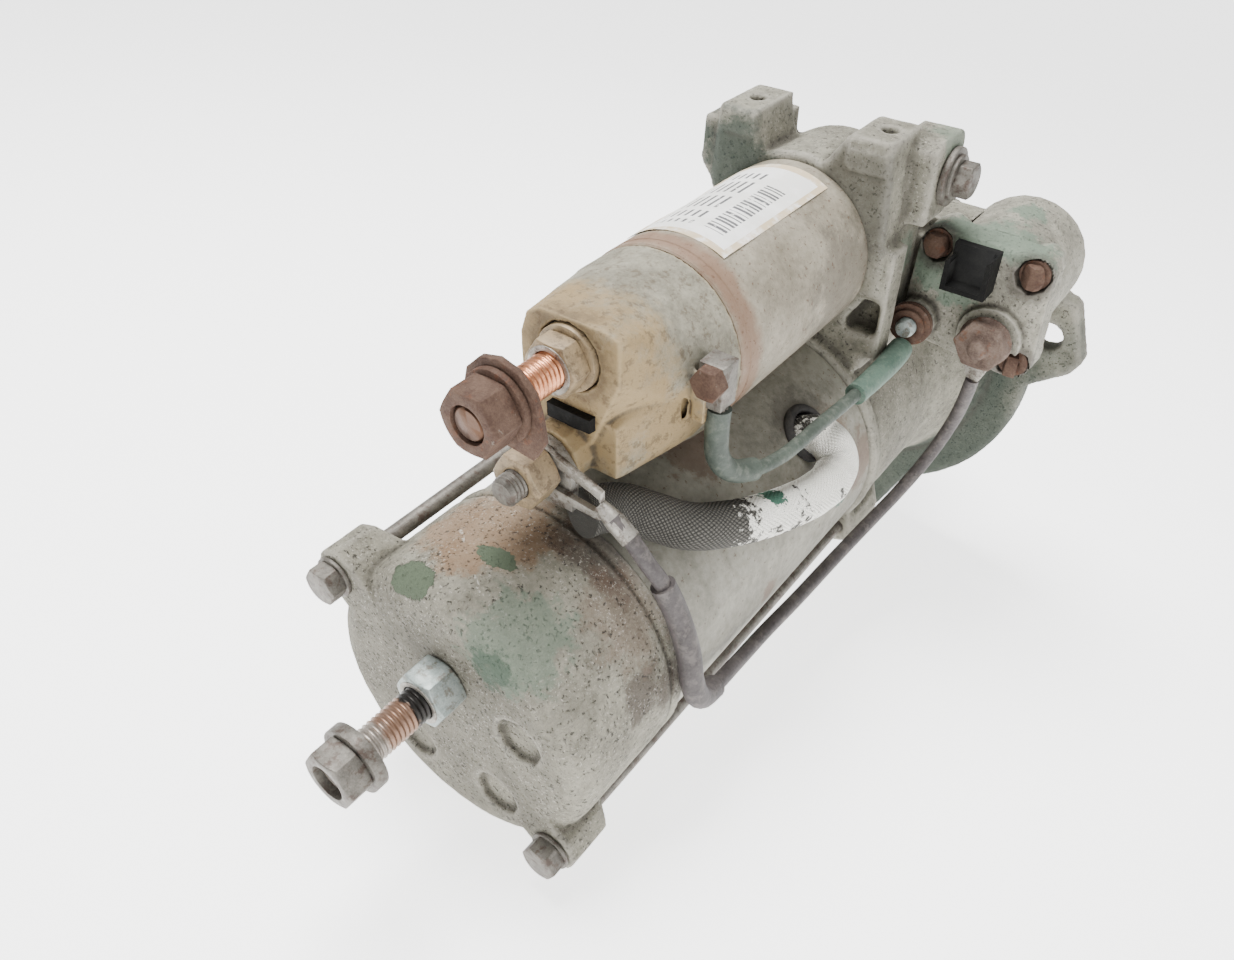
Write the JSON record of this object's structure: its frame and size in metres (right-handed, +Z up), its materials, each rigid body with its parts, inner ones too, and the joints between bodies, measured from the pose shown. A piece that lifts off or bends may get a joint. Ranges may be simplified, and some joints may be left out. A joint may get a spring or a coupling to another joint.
{
  "type": "starter motor",
  "caption": "Heavy-duty planetary starter motor with a solenoid above the yoke, a relay beside it, stud terminals and an eared mounting flange.",
  "frame": {"origin": "middle of the part's box in plan, level with the foot of the flange's lowest ear", "axes": "+X along the motor axis towards the pinion, +Y to the left looking that way, +Z up with the solenoid above the motor"},
  "size_m": [0.414, 0.2086, 0.241],
  "materials": {
    "casting": "rough casting, weathered, with remains of green paint",
    "steel_case": "worn grey-beige paint with rust specks",
    "turned_steel": "machined, lightly oiled",
    "dark_steel": "dull, tarnished",
    "rusty_steel": "brown rust",
    "zinc_steel": "zinc plated, stained",
    "laminations": "stacked steel plates with varnished windings",
    "copper": "bare copper, bright to brown",
    "winding": "varnished copper wire",
    "brass": "stamped brass",
    "carbon": "pressed carbon",
    "phenolic": "moulded phenolic with tan dust",
    "black_plastic": "black moulded plastic",
    "braid": "woven sleeve with flaked paint",
    "black_sleeve": "dull rubber",
    "green_sleeve": "dull rubber, grey-green"
  },
  "bodies": {
    "housing": {"rear_bracket": "casting", "rear_bearing": "turned_steel", "yoke": "steel_case", "through_bolt_upper": "dark_steel", "through_bolt_lower": "dark_steel", "field_pole_1": "dark_steel", "field_pole_2": "dark_steel", "field_pole_3": "dark_steel", "field_pole_4": "dark_steel", "brush_holder": "brass", "brush_1": "carbon", "brush_2": "carbon", "brush_3": "carbon", "brush_4": "carbon", "centre_plate": "turned_steel", "ring_gear": "dark_steel", "front_bearing": "turned_steel", "front_bracket": "casting", "lever_pin": "turned_steel", "clamp_bolt": "zinc_steel", "ground_stud": "rusty_steel", "ground_base_nut": "zinc_steel", "ground_end_nut": "dark_steel", "solenoid_can": "steel_case", "solenoid_cap": "phenolic", "solenoid_coil": "winding", "fixed_core": "turned_steel", "return_spring": "turned_steel", "battery_stud": "copper", "battery_base_nut": "phenolic", "battery_end_nut": "rusty_steel", "battery_lug": "rusty_steel", "motor_stud": "rusty_steel", "motor_stud_nut": "rusty_steel", "signal_terminal": "rusty_steel", "relay_body": "steel_case", "relay_cover": "casting", "relay_coil": "winding", "relay_bolt_1": "rusty_steel", "relay_bolt_2": "rusty_steel", "relay_bolt_3": "rusty_steel", "relay_main_post": "rusty_steel", "relay_small_post": "zinc_steel", "relay_socket": "black_plastic", "motor_lead": "braid", "side_lead": "black_sleeve", "control_lead": "green_sleeve"},
    "armature": {"armature_shaft": "turned_steel", "armature_core": "laminations", "commutator": "copper"},
    "carrier": {"planet_carrier": "turned_steel"},
    "planet_1": {"planet_gear_1": "turned_steel"},
    "planet_2": {"planet_gear_2": "turned_steel"},
    "planet_3": {"planet_gear_3": "turned_steel"},
    "drive": {"overrunning_clutch": "turned_steel"},
    "drive_pinion": {"pinion": "turned_steel"},
    "lever": {"shift_lever": "dark_steel"},
    "solenoid_armature": {"plunger": "turned_steel", "moving_contact": "copper"},
    "relay_armature": {"relay_plunger": "turned_steel"}
  },
  "joints": [
    {"name": "armature_spin", "type": "hinge", "parent": "housing", "child": "armature", "pos_m": [-0.0395, 0, 0.104], "axis": [1, 0, 0], "continuous": true},
    {"name": "carrier_spin", "type": "hinge", "parent": "housing", "child": "carrier", "pos_m": [0.0655, 0, 0.104], "axis": [1, 0, 0], "continuous": true},
    {"name": "planet_spin_1", "type": "hinge", "parent": "carrier", "child": "planet_1", "pos_m": [0.0535, 0.024, 0.104], "axis": [1, 0, 0], "continuous": true},
    {"name": "planet_spin_2", "type": "hinge", "parent": "carrier", "child": "planet_2", "pos_m": [0.0535, -0.012, 0.12478], "axis": [1, 0, 0], "continuous": true},
    {"name": "planet_spin_3", "type": "hinge", "parent": "carrier", "child": "planet_3", "pos_m": [0.0535, -0.012, 0.08321], "axis": [1, 0, 0], "continuous": true},
    {"name": "drive_slide", "type": "slide", "parent": "carrier", "child": "drive", "axis": [1, 0, 0], "range_m": [0, 0.0144]},
    {"name": "pinion_overrun", "type": "hinge", "parent": "drive", "child": "drive_pinion", "pos_m": [0.1745, 0, 0.104], "axis": [1, 0, 0], "continuous": true},
    {"name": "plunger_slide", "type": "slide", "parent": "housing", "child": "solenoid_armature", "axis": [-1, 0, 0], "range_m": [0, 0.01], "stiffness_N_per_m": 1500, "deforming": ["return_spring"]},
    {"name": "lever_tilt", "type": "hinge", "parent": "housing", "child": "lever", "pos_m": [0.0765, 0, 0.156], "axis": [0, -1, 0], "range_deg": [0, 16]},
    {"name": "relay_slide", "type": "slide", "parent": "housing", "child": "relay_armature", "axis": [-1, 0, 0], "range_m": [0, 0.0025], "stiffness_N_per_m": 500}
  ],
  "couplings": [
    {"joint": "carrier_spin", "follows": "armature_spin", "ratio": 0.22917},
    {"joint": "planet_spin_1", "follows": "armature_spin", "ratio": -0.65224},
    {"joint": "planet_spin_2", "follows": "armature_spin", "ratio": -0.65224},
    {"joint": "planet_spin_3", "follows": "armature_spin", "ratio": -0.65224},
    {"joint": "drive_slide", "follows": "plunger_slide", "ratio": 1.44},
    {"joint": "lever_tilt", "follows": "plunger_slide", "rad_per_m": 27.778}
  ]
}
